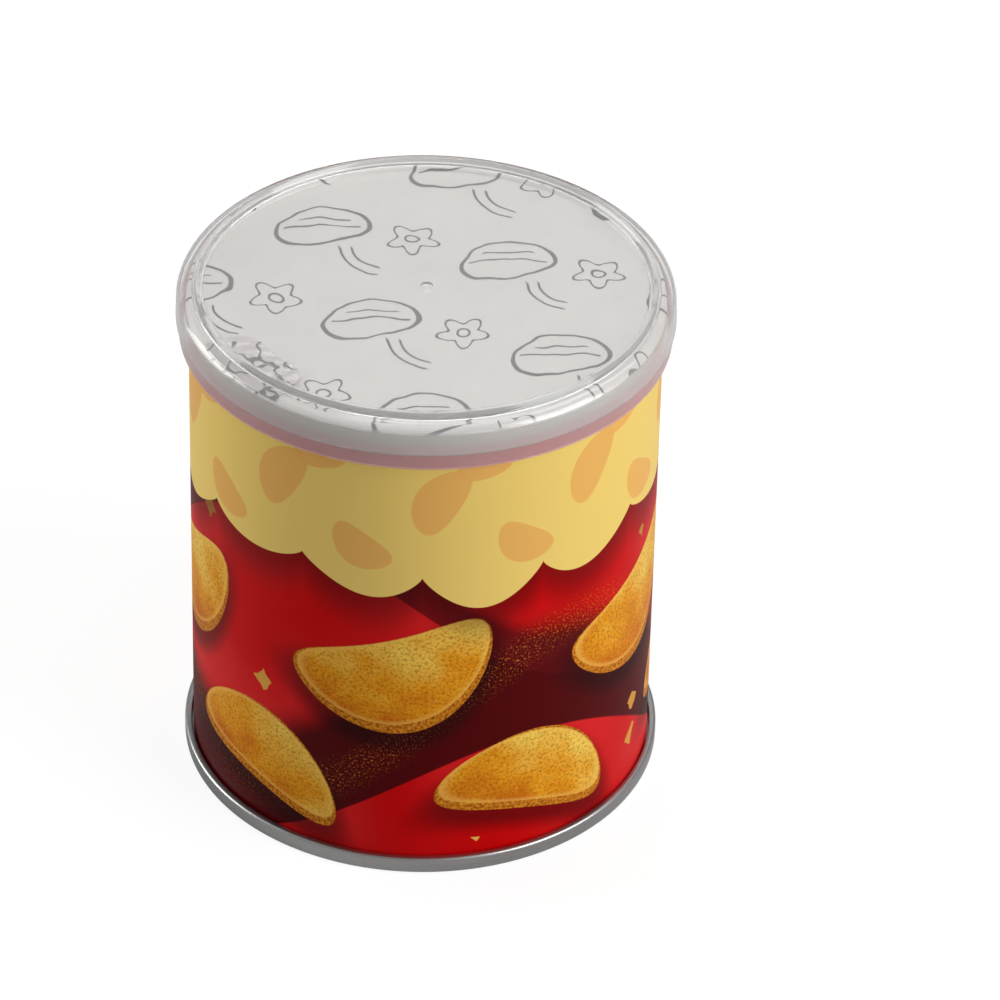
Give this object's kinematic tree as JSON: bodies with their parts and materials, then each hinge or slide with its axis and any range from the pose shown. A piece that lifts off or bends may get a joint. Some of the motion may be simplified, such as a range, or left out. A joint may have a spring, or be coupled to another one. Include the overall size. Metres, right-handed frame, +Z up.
{
  "type": "crisp tube",
  "caption": "Short round card can for crisps with a seamed steel base, a peel-off foil seal with a pull tab, and a translucent push-on lid.",
  "frame": {"origin": "centre of the circle that the can stands on, at the bottom of the base seam", "axes": "+Z up along the can's axis to the lid; -Y is the side that faces the viewer, +X is to the viewer's right"},
  "size_m": [0.0768, 0.0768, 0.086],
  "materials": {
    "printed_card": "gloss printed paper over wound card",
    "steel": "bright tinplate",
    "foil": "white lacquered foil with grey line print",
    "frosted_plastic": "translucent frosted polyethylene"
  },
  "bodies": {
    "can": {"card_tube": "printed_card", "base_end": "steel", "foil_seal": "foil"},
    "lid": {"lid": "frosted_plastic"}
  },
  "joints": [
    {"name": "lid_lift", "type": "slide", "parent": "can", "child": "lid", "axis": [0, 0, 1], "range_m": [0, 0.03]}
  ]
}
